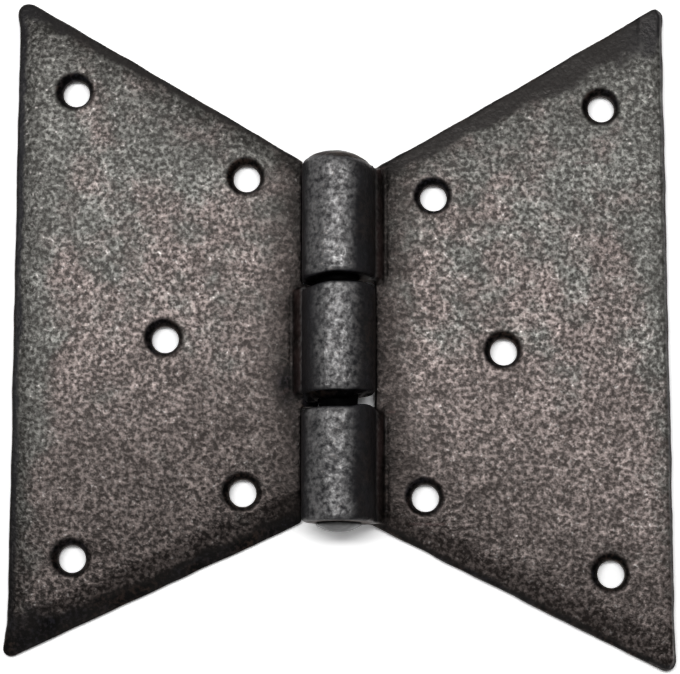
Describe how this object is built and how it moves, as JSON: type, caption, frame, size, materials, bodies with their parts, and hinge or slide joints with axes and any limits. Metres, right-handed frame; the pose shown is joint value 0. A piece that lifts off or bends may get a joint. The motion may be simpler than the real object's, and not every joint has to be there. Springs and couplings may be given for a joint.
{
  "type": "butterfly hinge",
  "caption": "Bow-tie shaped surface hinge of forged dark iron, with flared leaves holed for screws and rolled knuckles turning on a peened pin.",
  "frame": {"origin": "on the plane of the leaves' backs, below the pin, at the middle of the hinge's height", "axes": "+X from the left leaf to the right leaf, +Y up along the pin, +Z out of the front"},
  "size_m": [0.1031, 0.1056, 0.011],
  "materials": {
    "waxed_iron": "dark waxed forged iron, mottled brown and grey",
    "pin_iron": "dark waxed iron, peened ends"
  },
  "bodies": {
    "fixed_leaf": {"right_leaf": "waxed_iron", "hinge_pin": "pin_iron"},
    "swinging_leaf": {"left_leaf": "waxed_iron"}
  },
  "joints": [
    {"name": "leaf_swing", "type": "hinge", "parent": "fixed_leaf", "child": "swinging_leaf", "pos_m": [0, 0, 0.00548], "axis": [0, 1, 0], "range_deg": [-90, 180]}
  ]
}
